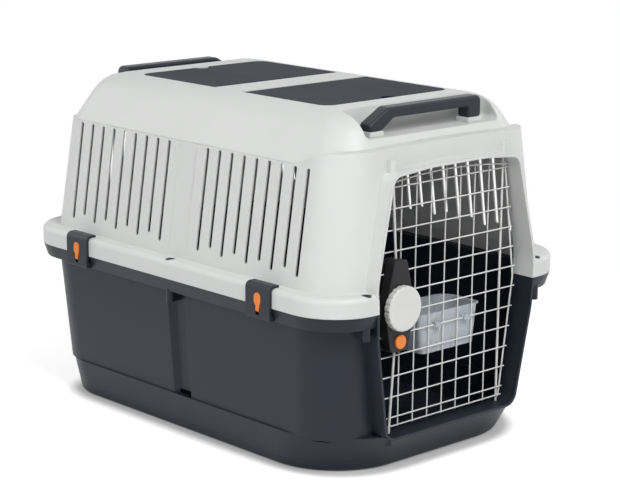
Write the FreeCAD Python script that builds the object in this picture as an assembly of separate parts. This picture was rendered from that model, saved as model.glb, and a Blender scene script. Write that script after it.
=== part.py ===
import FreeCAD, Part
import math
import os

from FreeCAD import Vector

os.makedirs("parts", exist_ok=True)

# Pet carrier, in millimetres. X is to the right seen from the door, the door faces -Y, Z is up.
# The origin is the middle of the footprint, on the ground.

# Shared clearances
cut_over = 6.0          # how far a cut runs past what it cuts
running_gap = 0.06      # round a pin or rod that turns or slides in its bore
loose_gap = 0.4         # between pieces that move past each other
same_point = 1e-6

# Shells
wall = 3.0
rim_width = 478.0
rim_length = 680.0
rim_corner = 75.0
parting_z = 233.0
upper_rim_height = 27.0
upper_rim_round = 8.0
lower_rim_height = 19.0
lower_rim_draft = 6.0

# Lower shell: insets are from the rim
base_inset_x = 39.0
base_inset_y = 41.0
base_corner = 75.0
base_front_corner = 112.0
base_round = 10.0
band_height = 55.0
band_inset_x = 29.5
band_inset_rear = 36.0
band_inset_front = 10.0
band_corner = 72.0
band_front_corner = 118.0
panel_low_inset_x = 32.0
panel_low_inset_y = 31.0
panel_top_inset_x = 17.5
panel_top_inset_y = 22.0
panel_corner = 66.0
groove_half_width = 19.0
groove_depth = 7.0
groove_flank = 8.0
boss_radius = 6.0
boss_drop = 16.0
hole_radius = 3.25
cup_radius = 9.0
counterbore_radius = 7.0
counterbore_depth = 14.0
side_hole_inset = 10.5
corner_hole_inset_x = 70.5
corner_hole_inset_y = 10.0

# Upper shell: insets are from the rim, heights from the parting line or the crease
hood_low_inset_x = 21.5
hood_low_inset_y = 20.0
hood_low_corner = 68.0
crease_rise = 188.0
hood_top_inset_x = 45.0
hood_top_inset_y = 29.0
hood_top_corner = 62.0
brow_rise = 25.0
brow_end_rise = 17.0
brow_back_inset = 55.0
brow_tail_inset = 125.0
side_panel_depth = 1.4
vent_width = 6.5
vent_pitch = 25.4
vent_first = 42.0
vent_end_gap = 64.0     # from the last vent to the end of the hood
vent_top_drop = 2.0
vent_long_rise = 16.0   # over the rim
vent_short_rise = 24.0
rear_vent_end_gap = 100.0

# Roof: the crown leans in from the crease and rounds over to a flat top
roof_rise = 68.0
crown_inset = 3.0       # from the top of the hood's walls
crown_corner = 60.0
crown_top_corner = 20.0
crown_lean = 30.0       # degrees from upright
crown_round = 52.0
crown_steps = 4

# Door frame, moulded half on each shell: insets are from the rim
sill_drop = 2.0         # under the top of the band
sill_inset = 112.0
sill_corner = 16.0
frame_low_inset = 88.0
frame_low_drop = 41.0
frame_high_inset = 84.0
frame_high_rise = 33.0
frame_bend = 80.0
head_inset = 117.0
head_drop = 11.0        # under the crease
head_corner = 16.0
arch_inset = 187.0
arch_rise = 5.5
arch_round = 200.0
frame_wall = 4.0
frame_tip_inset = 6.0
frame_back_inset = 38.0
socket_radius = 5.5
socket_depth = 12.0
socket_boss_rise = 20.0
socket_boss_drop = 14.0

# Roof trays and lids: insets are from the crown's foot
lid_inset_x = 70.0
lid_inner_y = 29.0
lid_inset_y = 107.0
lid_corner = 18.0
lid_thick = 3.0
lid_barrel = 5.0
lid_gap = 0.8
lid_skirt = 5.0
lid_skirt_wall = 2.0
lid_skirt_inset = 12.0
lid_pin_radius = 1.25
lid_pin_seat = 7.0
lid_notch_radius = 13.0
tray_ledge = 9.0
tray_hinge_ledge = 18.0
tray_depth = 38.0
tray_wall = 2.5
tray_flange = 5.0
tray_corner = 14.0

# Handles and their finger recesses: insets are from the crown's foot
recess_inset_x = 61.0
recess_depth = 34.0
recess_back_inset = 64.0
recess_lean = 8.0
recess_round = 10.0
handle_inset_y = 30.0
handle_depth = 22.0
handle_over_roof = 3.0
handle_end_gap = 16.0
handle_slope = 36.0
handle_end_rise = 17.0
handle_grip = 15.0
handle_foot = 28.0
handle_under_corner = 9.0
handle_round = 5.0
handle_screw_radius = 2.0
handle_screw_grip = 12.0
screw_head_radius = 3.8
screw_head_height = 2.5

# Wire door
mesh_pitch_x = 28.8
mesh_pitch_z = 28.94
mesh_top_gap = 17.4     # under the head of the frame
wire_radius = 1.0
edge_wire_radius = 1.3
mesh_inset = 26.75      # from the rim's front to the level wires, which are the front layer
edge_top_gap = 3.0
edge_top_drop = 13.0
edge_arch_rise = 8.0
edge_mid_gap = 12.0
edge_low_gap = 8.0
edge_low_rise = 9.0
edge_bend = 30.0
wire_stub = 3.0
hinge_gap = 3.8         # from the edge wire's foot to the hinge rod
rod_radius = 1.75

# Door lock: heights are from the middle of the knob
lock_inset = 18.0       # from the head of the frame
lock_drop = 1.0         # under the parting line
lock_rod_inset = 22.0   # from the rim's front
lock_front_inset = 10.0
lock_rise = 65.0
lock_fall = 61.0
lock_top_width = 24.0
lock_mid_width = 56.0
lock_low_width = 34.0
lock_corner = 8.0
lock_wall = 2.0
lock_plate = 3.0
lock_screw_radius = 1.5
lock_screw_rise = 52.0
lock_screw_fall = 55.5
lock_screw_high_x = 9.0
lock_screw_low_x = 13.0
lock_screw_head_radius = 2.8
lock_pillar_radius = 3.0
rod_rest_gap = 2.0
rod_offset = 6.0        # from the knob's middle to where the two bolts would meet
rod_lean = 4.0          # degrees from upright
crank_radius = 6.66
crank_half_angle = 45.0
crank_pin_radius = 1.8
crank_disc_radius = 12.0
crank_disc = 2.5
shaft_radius = 5.0
shaft_flat = 1.2
yoke_thick = 3.6
yoke_wall = 1.5
yoke_slot_gap = 0.4
yoke_joggle = 12.0
yoke_head = 6.0
knob_radius = 31.0
knob_thick = 9.6
knob_lobes = 20
knob_lobe_radius = 3.4
knob_round = 3.0
knob_gap = 0.4
knob_hub_radius = 9.0
knob_screw_radius = 1.5
knob_screw_head = 1.8
button_fall = 47.0
button_radius = 9.8
button_proud = 3.0
button_flange = 1.6
button_flange_rim = 1.3
button_travel = 2.0
button_gap = 0.2
button_round = 1.5
button_leg = 2.0
button_leg_offset = 6.8
button_leg_length = 5.0

# Water bowl, hung on a level wire
bowl_width = 127.0
bowl_depth = 70.0
bowl_over_wire = 16.0
bowl_height = 56.0
bowl_draft = 7.0
bowl_wall = 2.0
bowl_corner = 22.0
bowl_flange = 4.0
bowl_gap = 0.5
bowl_hook_row = 7
bowl_hook_width = 12.0
bowl_hook_thick = 2.5
bowl_hook_drop = 4.0
bowl_hook_gap = 0.2

# Side latches
latch_end_gap = 140.0   # from the rim's end to the middle of the latch
latch_width = 48.0
latch_plate = 4.0
latch_gap = 0.4
latch_top_thick = 3.0
latch_hook = 13.0
latch_round = 4.0
latch_axis_inset = 8.0
latch_axis_drop = 13.5
latch_barrel = 4.0
latch_pin_radius = 1.5
latch_pin_seat = 7.0
slider_head_radius = 6.4
slider_head_rise = 12.0
slider_tail_half = 3.2
slider_tail_drop = 7.0
slider_travel = 5.0
slider_proud = 0.6
slider_flange = 1.5
slider_flange_rim = 2.0
slider_gap = 0.25

# Worked out from the sizes above
rim_half_x = rim_width / 2
rim_half_y = rim_length / 2
rim_top_z = parting_z + upper_rim_height
rim_low_z = parting_z - lower_rim_height
base_half_x = rim_half_x - base_inset_x
base_half_y = rim_half_y - base_inset_y
band_half_x = rim_half_x - band_inset_x
band_rear = rim_half_y - band_inset_rear
band_front = rim_half_y - band_inset_front
panel_low_half_x = rim_half_x - panel_low_inset_x
panel_low_half_y = rim_half_y - panel_low_inset_y
panel_top_half_x = rim_half_x - panel_top_inset_x
panel_top_half_y = rim_half_y - panel_top_inset_y
side_hole_x = rim_half_x - side_hole_inset
corner_hole_x = rim_half_x - corner_hole_inset_x
corner_hole_y = rim_half_y - corner_hole_inset_y

crease_z = parting_z + crease_rise
roof_z = crease_z + roof_rise
hood_low_half_x = rim_half_x - hood_low_inset_x
hood_low_half_y = rim_half_y - hood_low_inset_y
hood_top_half_x = rim_half_x - hood_top_inset_x
hood_top_half_y = rim_half_y - hood_top_inset_y
crown_half_x = hood_top_half_x - crown_inset
crown_half_y = hood_top_half_y - crown_inset
brow_z = crease_z + brow_rise
brow_end_z = crease_z + brow_end_rise
brow_back_y = rim_half_y - brow_back_inset
brow_tail_y = rim_half_y - brow_tail_inset
vent_top_z = crease_z - vent_top_drop
vent_long_z = rim_top_z + vent_long_rise
vent_short_z = rim_top_z + vent_short_rise
vents_per_group = int((hood_top_half_y - vent_first - vent_end_gap) / vent_pitch) + 1
rear_vents = 2 * int((hood_top_half_x - rear_vent_end_gap) / vent_pitch + 1 / 2)

sill_z = band_height - sill_drop
sill_half_x = rim_half_x - sill_inset
frame_low_half_x = rim_half_x - frame_low_inset
frame_low_z = parting_z - frame_low_drop
frame_high_half_x = rim_half_x - frame_high_inset
frame_high_z = parting_z + frame_high_rise
head_half_x = rim_half_x - head_inset
head_z = crease_z - head_drop
arch_half_x = rim_half_x - arch_inset
arch_z = head_z + arch_rise
frame_front = rim_half_y
frame_tip = rim_half_y - frame_tip_inset
frame_back = rim_half_y - frame_back_inset
frame_slope_share = (frame_front - frame_tip) / (head_z - parting_z)
socket_top_z = head_z + socket_boss_rise
socket_low_z = sill_z - socket_boss_drop

lid_half_x = crown_half_x - lid_inset_x
lid_outer_y = crown_half_y - lid_inset_y
lid_seat_z = roof_z - lid_thick
skin_middle_z = roof_z - wall / 2
lid_axis_y = lid_inner_y + lid_barrel
lid_axis_z = roof_z - lid_barrel
recess_half_x = crown_half_x - recess_inset_x
recess_floor_z = roof_z - recess_depth
recess_back_y = crown_half_y - recess_back_inset
recess_top_y = recess_back_y - recess_lean
handle_front_y = crown_half_y - handle_inset_y
handle_top_z = roof_z + handle_over_roof
handle_end_half_x = recess_half_x - handle_end_gap
handle_grip_half_x = handle_end_half_x - handle_slope
handle_end_z = recess_floor_z + handle_end_rise
handle_screw_x = handle_end_half_x - handle_foot / 2

mesh_y = mesh_inset - rim_half_y
column_y = mesh_y + 2 * wire_radius
edge_y = mesh_y + wire_radius + edge_wire_radius
hinge_y = mesh_y + wire_radius + rod_radius
mesh_front_y = mesh_y - wire_radius
mesh_back_y = column_y + wire_radius
mesh_top_z = head_z - mesh_top_gap
edge_top_half_x = head_half_x - edge_top_gap
edge_top_z = head_z - edge_top_drop
edge_mid_half_x = frame_high_half_x - edge_mid_gap
edge_low_half_x = sill_half_x - edge_low_gap
edge_low_z = sill_z + edge_low_rise
hinge_x = edge_low_half_x - hinge_gap
mesh_rows = int((mesh_top_z - edge_low_z) / mesh_pitch_z) + 1
mesh_columns = 2 * int(hinge_x / mesh_pitch_x - 1 / 2) + 1

lock_x = lock_inset - head_half_x
lock_z = parting_z - lock_drop
lock_rod_y = lock_rod_inset - rim_half_y
lock_front_y = lock_front_inset - rim_half_y
lock_inner_y = lock_front_y + lock_wall
lock_top_z = lock_z + lock_rise
lock_low_z = lock_z - lock_fall
rod_lean_share = math.tan(math.radians(rod_lean))
crank_travel = 2 * crank_radius * math.sin(math.radians(crank_half_angle))
shaft_tip_y = lock_front_y - knob_thick + 2 * wall
button_z = lock_z - button_fall

bowl_x = mesh_pitch_x / 2
bowl_wire_z = mesh_top_z - bowl_hook_row * mesh_pitch_z
bowl_rim_z = bowl_wire_z + bowl_over_wire
bowl_base_z = bowl_rim_z - bowl_height

latch_y = rim_half_y - latch_end_gap
latch_axis_x = rim_half_x - latch_axis_inset
latch_axis_z = parting_z - latch_axis_drop
slider_head_z = parting_z + slider_head_rise
slider_tail_z = parting_z - slider_tail_drop

ALONG_X = Vector(1, 0, 0)
ALONG_Y = Vector(0, 1, 0)
ALONG_Z = Vector(0, 0, 1)
MIDDLE = Vector(0, 0, 0)


# Building blocks
def rounded_outline(points, radii, place):
    """Closed wire through flat points, with each corner rounded to its radius."""
    count = len(points)
    corners = []
    for i in range(count):
        here = Vector(*points[i])
        back = Vector(*points[i - 1]) - here
        on = Vector(*points[(i + 1) % count]) - here
        back.normalize()
        on.normalize()
        half = back.getAngle(on) / 2
        middle = (back + on).normalize()
        run = radii[i] / math.tan(half)
        reach = radii[i] / math.sin(half) - radii[i]
        corners.append((here + back * run, here + middle * reach, here + on * run))
    edges = []
    for i, (start, mid, end) in enumerate(corners):
        a, b, c = (place(p.x, p.y) for p in (start, mid, end))
        if radii[i] > 0:
            edges.append(Part.Arc(a, b, c).toShape())
        following = place(corners[(i + 1) % count][0].x, corners[(i + 1) % count][0].y)
        if c.distanceToPoint(following) > same_point:
            edges.append(Part.LineSegment(c, following).toShape())
    return Part.Wire(edges)


def section(half_x, front, rear, corner, z, front_corner=0):
    """Rounded rectangle at height z, from -front to +rear along Y, with its own front corners if given."""
    points = [(-half_x, -front), (half_x, -front), (half_x, rear), (-half_x, rear)]
    nose = front_corner or corner
    return rounded_outline(points, [nose, nose, corner, corner], lambda u, v: Vector(u, v, z))


def drafted(low, high):
    """Solid between two rounded rectangles, with flat sides and tapered round corners."""
    lower, upper = section(*low), section(*high)
    faces = [Part.Face(lower), Part.Face(upper)]
    for below, above in zip(lower.Edges, upper.Edges):
        if isinstance(below.Curve, Part.Line):
            ends = [v.Point for v in below.Vertexes] + [v.Point for v in reversed(above.Vertexes)]
            faces.append(Part.Face(Part.makePolygon(ends + ends[:1])))
        else:
            faces.append(Part.makeRuledSurface(below, above))
    skin = Part.makeShell(faces)
    skin.sewShape()
    return Part.makeSolid(skin)


def slab(half_x, front, rear, corner, low_z, high_z):
    return Part.Face(section(half_x, front, rear, corner, low_z)).extrude(ALONG_Z * (high_z - low_z))


def box(x0, x1, y0, y1, z0, z1):
    return Part.makeBox(x1 - x0, y1 - y0, z1 - z0, Vector(x0, y0, z0))


def rod(radius, start, end):
    return Part.makeCylinder(radius, (end - start).Length, start, end - start)


def level_profile(points, radii, y0, y1):
    """Outline in X and Z, run from y0 to y1."""
    wire = rounded_outline(points, radii, lambda u, v: Vector(u, y0, v))
    return Part.Face(wire).extrude(ALONG_Y * (y1 - y0))


def side_profile(points, radii, x0, x1):
    """Outline in Y and Z, run from x0 to x1."""
    wire = rounded_outline(points, radii, lambda u, v: Vector(x0, u, v))
    return Part.Face(wire).extrude(ALONG_X * (x1 - x0))


def flat(shape):
    return shape.removeSplitter()


def mirrored(shape, axis):
    return shape.mirror(MIDDLE, axis)


def edges_at_z(shape, z):
    return [e for e in shape.Edges if abs(e.BoundBox.ZMin - z) + abs(e.BoundBox.ZMax - z) < wall / 10]


def both_ends(shapes):
    """The shapes of the front end and their copies at the rear."""
    return shapes + [mirrored(shape, ALONG_Y) for shape in shapes]


def all_holes():
    corners = [(sx * corner_hole_x, sy * corner_hole_y) for sx in (-1, 1) for sy in (-1, 1)]
    return corners + [(-side_hole_x, 0), (side_hole_x, 0)]


# Door frame: a collar round the doorway, cut at the parting line between the shells
def doorway_wire(y, offset):
    half = [(sill_half_x, sill_z), (frame_low_half_x, frame_low_z), (frame_high_half_x, frame_high_z),
            (head_half_x, head_z), (arch_half_x, arch_z)]
    radii = [sill_corner, frame_bend, frame_bend, head_corner, arch_round]
    points = half + [(-x, z) for x, z in reversed(half)]
    wire = rounded_outline(points, radii + radii[::-1], lambda u, v: Vector(u, y, v))
    return wire.makeOffset2D(offset) if offset else wire


def doorway(front, back, offset=0):
    return Part.Face(doorway_wire(-front, offset)).extrude(ALONG_Y * (front - back))


def door_frame(low_z, high_z):
    ring = doorway(frame_front, frame_back, frame_wall).cut(doorway(frame_front, frame_back))
    tall = socket_top_z + cut_over
    lean = frame_front - frame_slope_share * (tall - parting_z)
    points = [(-frame_back, -cut_over), (-frame_back, tall), (-lean, tall), (-frame_front, parting_z),
              (-lean, 2 * parting_z - tall)]
    keep = side_profile(points, [0] * len(points), -rim_half_x, rim_half_x)
    return ring.common(keep).common(box(-rim_half_x, rim_half_x, -rim_length, 0, low_z, high_z))


def bolt_at(z):
    """Middle of a lock bolt at height z: the two bolts lean in towards the knob."""
    return Vector(lock_x + rod_offset - abs(z - lock_z) * rod_lean_share, lock_rod_y, z)


def socket_boss(x, y, low_z, high_z, wall_y):
    """Round boss on the frame with a web back to the wall behind it."""
    boss = rod(socket_radius, Vector(x, y, low_z), Vector(x, y, high_z))
    return boss.fuse(box(x - socket_radius, x + socket_radius, y, wall_y, low_z, high_z))


# Lower shell
def groove(side, depth, flank, low, high, half_width):
    """Upright groove in a side wall, following its draft from (half_x, z) low to high."""
    wires = []
    for half_x, z in (low, high):
        floor = half_x - depth
        out = half_x + cut_over
        reach = half_width + flank * cut_over / groove_depth
        points = [(floor, flank - half_width), (out, -reach), (out, reach), (floor, half_width - flank)]
        corners = [Vector(side * u, v, z) for u, v in points]
        wires.append(Part.makePolygon(corners + corners[:1]))
    return Part.makeLoft(wires, True, True)


def tub_grooves(extra):
    low = (panel_low_half_x, band_height)
    high = (panel_top_half_x, parting_z)
    width = groove_half_width + extra
    return [groove(s, groove_depth + extra, groove_flank, low, high, width) for s in (-1, 1)]


def latch_seat_block(sx, sy):
    """Solid stretch of the lower rim that carries one latch pin."""
    reach = latch_width / 2 + latch_gap + latch_pin_seat
    return box(*sorted((sx * (panel_top_half_x - wall), sx * (rim_half_x - lower_rim_draft))),
               sy * latch_y - reach, sy * latch_y + reach, rim_low_z, parting_z)


def latch_seat_cut(sx, sy):
    half = latch_width / 2 + latch_gap
    axis = Vector(sx * latch_axis_x, sy * latch_y, latch_axis_z)
    radius = latch_barrel + loose_gap
    round_cut = rod(radius, axis - ALONG_Y * half, axis + ALONG_Y * half)
    inner = latch_axis_x - radius
    outer = rim_half_x + cut_over
    top = latch_axis_z + radius
    slot = box(*sorted((sx * latch_axis_x, sx * outer)), axis.y - half, axis.y + half, rim_low_z - cut_over, top)
    under = box(*sorted((sx * inner, sx * outer)), axis.y - half, axis.y + half,
                rim_low_z - cut_over, latch_axis_z)
    seat = half + latch_pin_seat
    bore = rod(latch_pin_radius + running_gap, axis - ALONG_Y * seat, axis + ALONG_Y * seat)
    return round_cut.fuse([slot, under, bore])


def lower_shell():
    base = (base_half_x, base_half_y, base_half_y, base_corner, 0, base_front_corner)
    band_top = (band_half_x, band_front, band_rear, band_corner, band_height, band_front_corner)
    band = Part.makeLoft([section(*base), section(*band_top)], True, True)
    band = band.makeFillet(base_round, edges_at_z(band, 0))
    panel = drafted((panel_low_half_x, panel_low_half_y, panel_low_half_y, panel_corner, band_height),
                    (panel_top_half_x, panel_top_half_y, panel_top_half_y, panel_corner, parting_z))
    panel = panel.cut(tub_grooves(0))

    rim_low = (rim_half_x - lower_rim_draft, rim_half_y - lower_rim_draft, rim_half_y - lower_rim_draft)
    rim = drafted((*rim_low, rim_corner - lower_rim_draft, rim_low_z),
                  (rim_half_x, rim_half_y, rim_half_y, rim_corner, parting_z))
    inner_rim = [size - wall for size in rim_low]
    hollow = slab(*inner_rim, rim_corner - lower_rim_draft - wall, rim_low_z - cut_over, parting_z - wall)
    rim = rim.cut(hollow)

    seats = []
    for sx in (-1, 1):
        for sy in (-1, 1):
            seats.append(latch_seat_block(sx, sy))
    bosses = []
    for x, y in all_holes():
        low = rim_low_z - boss_drop
        bosses.append(rod(boss_radius, Vector(x, y, low), Vector(x, y, parting_z)))
        inward = Vector(x, y, 0) if y == 0 else Vector(0, y, 0)
        inward.normalize()
        back = Vector(x, y, 0) - inward * (2 * boss_radius + groove_depth + wall)
        across = Vector(inward.y, inward.x, 0) * (boss_radius / 2)
        low_corner = Vector(min(x, back.x) - abs(across.x), min(y, back.y) - abs(across.y), low)
        high_corner = Vector(max(x, back.x) + abs(across.x), max(y, back.y) + abs(across.y), parting_z)
        bosses.append(box(low_corner.x, high_corner.x, low_corner.y, high_corner.y, low, parting_z))
    sockets = [socket_boss(x, y, socket_low_z, sill_z, y + 2 * socket_radius)
               for x, y in ((hinge_x, hinge_y), (bolt_at(sill_z).x, lock_rod_y))]

    inner_band = drafted((base_half_x - wall, base_half_y - wall, base_half_y - wall, base_corner - wall, wall,
                          base_front_corner - wall),
                         (panel_low_half_x - wall, band_front - wall, band_rear - wall, band_corner - wall,
                          band_height - wall, band_front_corner - wall))
    link = slab(panel_low_half_x - 2 * wall, panel_low_half_y - 2 * wall, band_rear - 2 * wall, panel_corner,
                band_height - 2 * wall, band_height + 2 * wall)
    inner_panel = drafted((panel_low_half_x - wall, panel_low_half_y - wall, panel_low_half_y - wall,
                           panel_corner - wall, band_height + wall),
                          (panel_top_half_x - wall, panel_top_half_y - wall, panel_top_half_y - wall,
                           panel_corner - wall, parting_z))
    lift = slab(panel_top_half_x - wall, panel_top_half_y - wall, panel_top_half_y - wall, panel_corner - wall,
                parting_z, parting_z + cut_over)
    inner_panel = inner_panel.cut(tub_grooves(wall))
    inside = inner_band.fuse([link, inner_panel, lift])

    shell = panel.fuse([band, rim] + seats + bosses).cut(inside)
    shell = shell.fuse([door_frame(0, parting_z)] + sockets)
    cuts = [doorway(rim_length, frame_back - cut_over).common(box(-rim_half_x, rim_half_x, -rim_length, 0,
                                                                 sill_z, parting_z + cut_over))]
    for x, y in all_holes():
        cuts.append(rod(hole_radius, Vector(x, y, 0), Vector(x, y, parting_z + cut_over)))
    hinge_bore = rod(rod_radius + running_gap, Vector(hinge_x, hinge_y, sill_z - socket_depth),
                     Vector(hinge_x, hinge_y, parting_z))
    lock_bore = rod(rod_radius + loose_gap, bolt_at(sill_z - socket_depth), bolt_at(lock_z))
    cuts += [hinge_bore, lock_bore]
    cuts += [latch_seat_cut(sx, sy) for sx in (-1, 1) for sy in (-1, 1)]
    return flat(shell.cut(cuts))


# Upper shell
def hood_section(z, inset):
    rise = (z - rim_top_z) / (crease_z - rim_top_z)
    half_x = hood_low_half_x + (hood_top_half_x - hood_low_half_x) * rise - inset
    half_y = hood_low_half_y + (hood_top_half_y - hood_low_half_y) * rise - inset
    corner = hood_low_corner + (hood_top_corner - hood_low_corner) * rise - inset
    return (half_x, half_y, half_y, corner, z)


def hood_sides(low_z, inset):
    """Outer form of the hood up to the crease and the brow, or its hollow when inset by the wall."""
    sides = drafted(hood_section(low_z, inset), hood_section(brow_z, inset))
    top = crease_z - inset
    under = box(-rim_half_x, rim_half_x, -rim_half_y, rim_half_y, low_z - cut_over, top)
    arch = Part.Arc(Vector(-rim_half_x, -rim_half_y, brow_end_z - inset),
                    Vector(0, -rim_half_y, brow_z - inset),
                    Vector(rim_half_x, -rim_half_y, brow_end_z - inset)).toShape()
    ends = [Vector(rim_half_x, -rim_half_y, top - cut_over), Vector(-rim_half_x, -rim_half_y, top - cut_over)]
    below = Part.makePolygon([arch.valueAt(arch.LastParameter), *ends, arch.valueAt(arch.FirstParameter)])
    brow = Part.Face(Part.Wire([arch] + below.Edges)).extrude(ALONG_Y * (rim_half_y - brow_tail_y))
    rise = [(-rim_half_y, top - cut_over), (-rim_half_y, brow_z), (-brow_back_y, brow_z), (-brow_tail_y, top),
            (-brow_tail_y, top - cut_over)]
    brow = brow.common(side_profile(rise, [0] * len(rise), -rim_half_x, rim_half_x))
    return sides.common(under.fuse(brow))


def crown(inset):
    """Form of the roof above the crease, or its hollow when inset: leaning sides, rounded over to a flat top."""
    lean = math.radians(crown_lean)
    straight = roof_rise - crown_round * (1 - math.sin(lean))
    whole_draw = straight * math.tan(lean) + crown_round * math.cos(lean)
    radius = crown_round - inset
    ways = []
    for step in range(crown_steps + 1):
        turn = (math.pi / 2 - lean) * (1 - step / crown_steps)
        ways.append((whole_draw - radius * math.sin(turn), roof_rise - crown_round + radius * math.cos(turn)))
    draw, rise = ways[0]
    foot = (draw - (rise + inset) * math.tan(lean), -inset)
    middle = ((foot[0] + draw) / 2, (foot[1] + rise) / 2)
    sections = []
    for draw, rise in [foot, middle] + ways:
        corner = crown_corner + (crown_top_corner - crown_corner) * draw / whole_draw
        half_y = crown_half_y - draw
        sections.append(section(crown_half_x - draw, half_y, half_y, corner, crease_z + rise))
    return Part.makeLoft(sections, True, False)


def finger_recess(inset):
    """Hollow under a handle at the front end of the roof, or its outside when inset is negative."""
    out = -crown_half_y - cut_over
    floor = recess_floor_z + inset
    high = roof_z + cut_over
    points = [(out, floor), (-recess_back_y - inset, floor), (-recess_top_y - inset, high), (out, high)]
    form = side_profile(points, [0, recess_round, 0, 0], inset - recess_half_x, recess_half_x - inset)
    ends = [e for e in form.Edges if abs(e.BoundBox.XLength) < same_point
            and e.BoundBox.YMax > -recess_back_y - recess_round and e.BoundBox.YMin > out + cut_over]
    return form.makeFillet(recess_round - wall, ends)


def lid_outline(y_edge, gap):
    """Plan of the front lid from its hinge axis to its outer edge."""
    half = lid_half_x + gap
    points = [(-half, -lid_outer_y - gap), (half, -lid_outer_y - gap), (half, -y_edge), (-half, -y_edge)]
    return points, [lid_corner, lid_corner, 0, 0]


def lid_slab(gap, low_z, high_z):
    points, radii = lid_outline(lid_axis_y, gap)
    wire = rounded_outline(points, radii, lambda u, v: Vector(u, v, low_z))
    return Part.Face(wire).extrude(ALONG_Z * (high_z - low_z))


def lid_axis_rod(radius, half_length):
    return rod(radius, Vector(-half_length, -lid_axis_y, lid_axis_z), Vector(half_length, -lid_axis_y, lid_axis_z))


def tray(inset, low_z, high_z):
    half = lid_half_x - tray_ledge + inset
    front = lid_outer_y - tray_ledge + inset
    rear = inset - lid_inner_y - tray_hinge_ledge
    return slab(half, front, rear, tray_corner + inset, low_z, high_z)


def lid_notch(low_z, high_z):
    centre = Vector(0, -lid_outer_y, 0)
    return rod(lid_notch_radius, centre + ALONG_Z * low_z, centre + ALONG_Z * high_z)


def hinge_block():
    """Solid strip of the roof beside the front lid, round its hinge."""
    reach = lid_half_x + lid_gap + lid_pin_seat + wall
    return box(-reach, reach, -lid_inner_y - tray_hinge_ledge, wall - lid_inner_y,
               lid_axis_z - lid_barrel - 2 * wall, skin_middle_z)


def finger_well():
    """Cup under the notch in the lid's edge, before hollowing."""
    low = Vector(0, -lid_outer_y, lid_seat_z - lid_notch_radius - tray_wall)
    return rod(lid_notch_radius + tray_wall, low, Vector(0, -lid_outer_y, skin_middle_z))


def lid_ledge():
    points, radii = lid_outline(lid_inner_y, wall)
    low = lid_seat_z - wall
    wire = rounded_outline(points, radii, lambda u, v: Vector(u, v, low))
    return Part.Face(wire).extrude(ALONG_Z * (skin_middle_z - low))


def lid_seat_cuts():
    half = lid_half_x + lid_gap
    trough = lid_axis_rod(lid_barrel + lid_gap, half)
    swing = box(-half, half, -lid_axis_y, lid_gap - lid_inner_y, lid_axis_z, roof_z + cut_over)
    lid_room = lid_slab(lid_gap, lid_seat_z, roof_z + cut_over)
    bore = lid_axis_rod(lid_pin_radius + running_gap, lid_half_x + lid_gap + lid_pin_seat)
    well = lid_notch(lid_seat_z - lid_notch_radius, roof_z)
    well = well.common(lid_slab(lid_gap, lid_seat_z - lid_notch_radius, roof_z))
    pocket = tray(0, lid_seat_z - tray_depth, roof_z)
    return [trough, swing, lid_room, bore, well, pocket]


def vent_cut(place, low_z, along, start, length):
    """Upright slot with round ends, cut along X or Y."""
    half = vent_width / 2
    points = [(place - half, low_z), (place + half, low_z), (place + half, vent_top_z), (place - half, vent_top_z)]
    radii = [half] * len(points)
    if along == ALONG_X:
        wire = rounded_outline(points, radii, lambda u, v: Vector(start, u, v))
    else:
        wire = rounded_outline(points, radii, lambda u, v: Vector(u, start, v))
    return Part.Face(wire).extrude(along * length)


def vents():
    cuts = []
    inner_x = hood_top_half_x - wall
    inner_y = hood_top_half_y - wall
    for i in range(vents_per_group):
        low = vent_long_z if i % 2 == 0 else vent_short_z
        for sy in (-1, 1):
            place = sy * (vent_first + i * vent_pitch)
            cuts += [vent_cut(place, low, ALONG_X, start, rim_half_x - inner_x) for start in (-rim_half_x, inner_x)]
    for i in range(rear_vents):
        low = vent_long_z if i % 2 == 0 else vent_short_z
        place = (i - (rear_vents - 1) / 2) * vent_pitch
        cuts.append(vent_cut(place, low, ALONG_Y, inner_y, rim_half_y - inner_y))
    return cuts


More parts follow.
